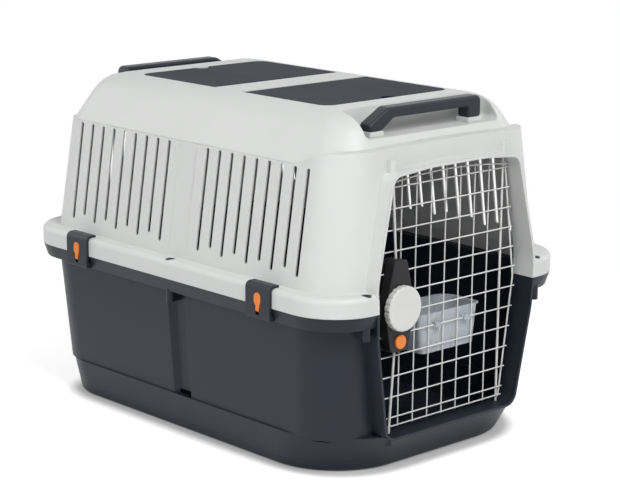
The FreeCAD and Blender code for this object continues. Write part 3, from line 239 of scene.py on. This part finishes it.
def smooth_piece(name, form, material):
    """Object with smooth faces, made from a form that is then freed."""
    for face in form.faces:
        face.smooth = True
    mesh = bpy.data.meshes.new(name)
    form.to_mesh(mesh)
    form.free()
    mesh.materials.append(material)
    piece = bpy.data.objects.new(name, mesh)
    bpy.context.scene.collection.objects.link(piece)
    return piece


def rounded_piece(name, form, turn, rounding, material):
    """Object from a form that is turned about the carrier's middle and has its edges rounded."""
    bmesh.ops.recalc_face_normals(form, faces=form.faces)
    bmesh.ops.rotate(form, cent=(0, 0, 0), matrix=Matrix.Rotation(turn, 3, "Z"), verts=form.verts)
    piece = smooth_piece(name, form, material)
    bevel = piece.modifiers.new("rounding", "BEVEL")
    bevel.width = rounding
    bevel.segments = 4
    bevel.use_clamp_overlap = False
    bevel.harden_normals = True
    return piece


def moulded_grip(name, turn):
    """Solid grip with a long sloping end and a short upright one."""
    form = bmesh.new()
    corners = [form.verts.new((point.x, grip_low.y, point.y)) for point in rounded_corners(grip_outline)]
    side = form.faces.new(corners)
    grown = bmesh.ops.extrude_face_region(form, geom=[side])["geom"]
    far_side = [item for item in grown if isinstance(item, bmesh.types.BMVert)]
    bmesh.ops.translate(form, vec=(0, grip_high.y - grip_low.y, 0), verts=far_side)
    return rounded_piece(name, form, turn, grip_round, grip_plastic)


def grip_seats(name, turn):
    """Two low pads of the hood, which the feet of a grip stand on."""
    form = bmesh.new()
    for start, end in ((long_end, long_end + long_foot), (short_end - short_foot, short_end)):
        seat_low = Vector((start - seat_lip, grip_low.y - seat_lip, grip_floor))
        seat_high = Vector((end + seat_lip, grip_high.y + seat_lip, foot_floor))
        size = Matrix.Diagonal((*(seat_high - seat_low), 1))
        middle = Matrix.Translation((seat_low + seat_high) / 2)
        bmesh.ops.create_cube(form, size=1, matrix=middle @ size)
    return rounded_piece(name, form, turn, seat_lip, hood_plastic)


for node, turn in (("front_handle", 0), ("rear_handle", math.pi)):
    grip = moulded_grip(node.replace("handle", "grip"), turn)
    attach(grip, "carrier")
    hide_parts(node)
    seats = grip_seats(node.replace("handle", "grip_seats"), turn)
    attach(seats, "carrier")


# Rim holes: six dark rings in the wells of the bolt holes round the hood's rim, painted shade: dark pieces
# set where the holes lie only in shade. Each reaches down to the floor of its well, its top just sunk.
rim_top = 0.26
well_depth = 0.014
well_floor = rim_top - well_depth
sunk = 0.0005
painted_shade_ring_top = rim_top - sunk
painted_shade_ring_radius, painted_shade_ring_bore = 0.0069, 0.00325
painted_shade_ring_chamfer = 0.0006
painted_shade_ring_steps = 32
# Half a section: distance from the hole's middle, and height.
painted_shade_ring_section = [
    (painted_shade_ring_bore, well_floor),
    (painted_shade_ring_radius, well_floor),
    (painted_shade_ring_radius, painted_shade_ring_top - painted_shade_ring_chamfer),
    (painted_shade_ring_radius - painted_shade_ring_chamfer, painted_shade_ring_top),
    (painted_shade_ring_bore + painted_shade_ring_chamfer, painted_shade_ring_top),
    (painted_shade_ring_bore, painted_shade_ring_top - painted_shade_ring_chamfer),
]
corner_hole_x, corner_hole_y, side_hole_x = 0.1685, 0.330, 0.2285
rim_holes = [(s * corner_hole_x, t * corner_hole_y) for s in (-1, 1) for t in (-1, 1)]
rim_holes += [(-side_hole_x, 0), (side_hole_x, 0)]

painted_shade_form = bmesh.new()
for hole_x, hole_y in rim_holes:
    sections = []
    for step in range(painted_shade_ring_steps):
        angle = 2 * math.pi * step / painted_shade_ring_steps
        out = Vector((math.cos(angle), math.sin(angle)))
        sections.append([painted_shade_form.verts.new((hole_x + radius * out.x, hole_y + radius * out.y, height))
                         for radius, height in painted_shade_ring_section])
    for step, section in enumerate(sections):
        following = sections[(step + 1) % painted_shade_ring_steps]
        for i in range(len(section)):
            painted_shade_form.faces.new((section[i - 1], following[i - 1], following[i], section[i]))
# Painted shade: the rings take the dark tub plastic so that the holes look shaded.
painted_shade_rings = rounded_piece("rim_hole_painted_shade", painted_shade_form, 0, painted_shade_ring_chamfer / 3, tub_plastic)
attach(painted_shade_rings, "carrier")


# Lids: flush dark covers of the two roof trays, in a duller grade than the tub. Each turns on a steel pin
# beside the middle strip of the roof and lifts by the notch in its outer edge.
lid_plastic = moulded_plastic("lid_plastic", (0.016, 0.018, 0.027), 0.62, (0.0008, 0.000010), 0.0008,
                              gloss=0.12)
for node in ("front_lid", "rear_lid"):
    finish_node(node, lid_plastic)
    finish_node(node + "_pin", screw_steel)


# Wire door: a welded mesh of drawn wire, dipped in a pale grey coating. The level wires lie in front of
# the upright ones, a bent wire closes each side, and the door turns on the straight rod at its right.
wire_coat = moulded_plastic("wire_coat", (0.70, 0.70, 0.69), 0.30, (0.0012, 0.000012), 0.0001,
                            drift_share=0.08)
for node in ("door_grille", "door_hinge_rod"):
    finish_node(node, wire_coat)

pitch_across, pitch_up = 0.0288, 0.02894
wire_radius = 0.001
bead_radius = 1.5 * wire_radius
bead_flatness = 0.75
grille_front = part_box("door_grille")[0].y
weld_y = grille_front + 2 * wire_radius
weld_top = 0.3926
weld_rows, weld_columns = 12, 7


def weld_beads():
    """A flattened drop of metal and coating at each crossing of the upright and level wires."""
    beads = bmesh.new()
    squash = Matrix.Diagonal((1.0, bead_flatness, 1.0, 1.0))
    for row in range(weld_rows):
        for column in range(weld_columns):
            across = (column - (weld_columns - 1) / 2) * pitch_across
            crossing = Matrix.Translation((across, weld_y, weld_top - row * pitch_up))
            bmesh.ops.create_icosphere(beads, subdivisions=2, radius=bead_radius, matrix=crossing @ squash)
    return smooth_piece("weld_beads", beads, wire_coat)


welds = weld_beads()
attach(welds, "door")


# Door lock: a black case screwed through the mesh to a plate behind it. The pale knob turns a crank
# inside, which drives two coated rods into the frame, and the orange button frees the knob.
case_plastic = moulded_plastic("case_plastic", (0.014, 0.014, 0.016), 0.45, (0.0007, 0.000012), 0.0008,
                               gloss=0.3)
for node in ("lock_housing", "lock_back_plate", "lock_crank"):
    finish_node(node, case_plastic)
for node in ("lock_screws", "knob_screw"):
    finish_node(node, screw_steel)
for node in ("upper_lock_rod", "lower_lock_rod"):
    finish_node(node, wire_coat)
knob_plastic = moulded_plastic("knob_plastic", (0.70, 0.70, 0.68), 0.42, (0.0007, 0.000010), 0.0009,
                               drift_share=0.03)
finish_node("lock_knob", knob_plastic)
orange_plastic = moulded_plastic("orange_plastic", (0.82, 0.22, 0.025), 0.32, (0.0006, 0.000006), 0.0007)
finish_node("lock_button", orange_plastic)


# Water bowl: a thin-walled clear polypropylene cup, milky where the wall is thick. It hangs by two hooks
# on a level wire, on the inner side of the door.
def milky_plastic(name, colour):
    """Thin translucent plastic with faint flow lines from its moulding."""
    material, nodes, links, shader, place = new_material(name)
    flow = noise(nodes, links, place, scale=45, detail=3, stretch=(1, 1, 0.25))
    thick = tuple(min(c * 1.1, 1) for c in colour)
    thickness = ranged(nodes, links, flow, 0.3, 0.7, 0, 1)
    links.new(mixed(nodes, links, thickness, colour, thick), shader.inputs["Base Color"])
    links.new(ranged(nodes, links, flow, 0.3, 0.7, 0.22, 0.36), shader.inputs["Roughness"])
    shader.inputs["Transmission Weight"].default_value = 0.45
    shader.inputs["IOR"].default_value = 1.49
    return material


finish_node("water_bowl", milky_plastic("bowl_plastic", (0.60, 0.64, 0.69)))


# Side latches: four dark clips that turn on steel pins under the rim and hook over the hood's rim, which
# clamps the two shells. An orange slider in the face of each keeps it shut.
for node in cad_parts:
    if node.startswith("latch_slider"):
        finish_node(node, orange_plastic)
    elif node.startswith("latch_pin"):
        finish_node(node, screw_steel)
    elif node.startswith("latch_"):
        finish_node(node, grip_plastic)


# Floor: a white sweep of paper. Close to the carrier it is darkened by a painted contact shadow in its
# colour and its glow, around that it takes the lamps and the soft shadow, and further out it is plain
# white.
def background_rays(nodes, links):
    """1 for rays that show the background: seen directly, in a gloss or through something clear."""
    path = nodes.new("ShaderNodeLightPath")
    total = path.outputs["Is Camera Ray"]
    for ray in ("Is Glossy Ray", "Is Transmission Ray"):
        add = nodes.new("ShaderNodeMath")
        add.use_clamp = True
        links.new(total, add.inputs[0])
        links.new(path.outputs[ray], add.inputs[1])
        total = add.outputs["Value"]
    return total


def white_sweep(name, contact, near, far):
    """White floor: painted shadow within contact of a piece, a lit soft shadow up to near, plain from far.
    """
    material, nodes, links, shader, place = new_material(name)
    shader.inputs["Roughness"].default_value = 0.9
    shader.inputs["Emission Color"].default_value = (1, 1, 1, 1)
    rays = background_rays(nodes, links)
    # Painted contact shadow: occlusion by what stands on the floor darkens its colour and its glow.
    shade = nodes.new("ShaderNodeAmbientOcclusion")
    shade.samples = 16
    shade.inputs["Distance"].default_value = contact
    openness = ranged(nodes, links, shade.outputs["AO"], 0.5, 0.9, 0, 1)
    glow = ranged(nodes, links, openness, 0, 1, 0.2, 0.6)
    links.new(product(nodes, links, glow, rays), shader.inputs["Emission Strength"])
    paper_with_painted_shadow = mixed(nodes, links, openness, (0.4, 0.4, 0.4), (0.9, 0.9, 0.9))
    links.new(paper_with_painted_shadow, shader.inputs["Base Color"])

    distance = nodes.new("ShaderNodeVectorMath")
    distance.operation = "LENGTH"
    links.new(place, distance.inputs[0])
    far_out = ranged(nodes, links, distance.outputs["Value"], near, far, 0, 1)
    plain = nodes.new("ShaderNodeEmission")
    mix = nodes.new("ShaderNodeMixShader")
    links.new(product(nodes, links, far_out, rays), mix.inputs["Fac"])
    links.new(shader.outputs["BSDF"], mix.inputs[1])
    links.new(plain.outputs["Emission"], mix.inputs[2])
    links.new(mix.outputs["Shader"], nodes["Material Output"].inputs["Surface"])
    return material


floor_reach = 8.0
floor_corners = [(s * floor_reach, t * floor_reach, 0) for s, t in ((-1, -1), (1, -1), (1, 1), (-1, 1))]
floor_mesh = bpy.data.meshes.new("floor")
floor_mesh.from_pydata(floor_corners, [], [(0, 1, 2, 3)])
floor_mesh.materials.append(white_sweep("floor_white", 0.035, 0.5, 1.1))
floor = bpy.data.objects.new("floor", floor_mesh)
bpy.context.scene.collection.objects.link(floor)


# Studio light: a dim white room, a large soft lamp high in front, another at the left and two weak ones
# at the right and behind, so that the front is the brightest and little light falls in through the door.
room = bpy.data.worlds.new("room")
bpy.context.scene.world = room
room.use_nodes = True
room_nodes, room_links = room.node_tree.nodes, room.node_tree.links
room_glow = ranged(room_nodes, room_links, background_rays(room_nodes, room_links), 0, 1, 0.2, 1)
room_nodes["Background"].inputs["Color"].default_value = (1, 1, 1, 1)
room_links.new(room_glow, room_nodes["Background"].inputs["Strength"])


def soft_lamp(name, place, target, size, watts):
    """Square area lamp at place, aimed at target."""
    lamp = bpy.data.lights.new(name, "AREA")
    lamp.size = size
    lamp.energy = watts
    lamp_object = bpy.data.objects.new(name, lamp)
    bpy.context.scene.collection.objects.link(lamp_object)
    lamp_object.location = place
    aim = Vector(target) - Vector(place)
    lamp_object.rotation_euler = aim.to_track_quat("-Z", "Y").to_euler()


carrier_middle, carrier_front = (0, 0, 0.25), (0, -0.2, 0.25)
soft_lamp("front_lamp", (-0.5, -2.6, 2.9), carrier_front, 1.4, 86)
soft_lamp("left_lamp", (-2.9, -0.2, 1.5), carrier_middle, 1.8, 32)
soft_lamp("right_lamp", (3.0, -0.8, 1.2), carrier_middle, 1.6, 14)
soft_lamp("back_lamp", (-1.0, 3.0, 1.2), carrier_middle, 1.6, 16)


# Camera: the photograph's view, fitted to the square mesh of the door. It looks from the front left and a
# little above, with a long lens and a slight roll.
camera = bpy.data.cameras.new("camera")
camera.sensor_width = 36.0
camera.lens = 113.4
camera_object = bpy.data.objects.new("camera", camera)
bpy.context.scene.collection.objects.link(camera_object)
azimuth, elevation, roll = math.radians(-43.314), math.radians(12.976), math.radians(0.511)
ground = math.cos(elevation)
back = Vector((math.sin(azimuth) * ground, -math.cos(azimuth) * ground, math.sin(elevation)))
level = Vector((0, 0, 1)).cross(back).normalized()
upright = back.cross(level)
right = level * math.cos(roll) + upright * math.sin(roll)
up = upright * math.cos(roll) - level * math.sin(roll)
camera_object.matrix_world = Matrix((right, up, back)).transposed().to_4x4()
camera_object.location = (-1.9157, -2.0750, 0.8935)
bpy.context.scene.camera = camera_object
bpy.context.scene.view_settings.view_transform = "Standard"
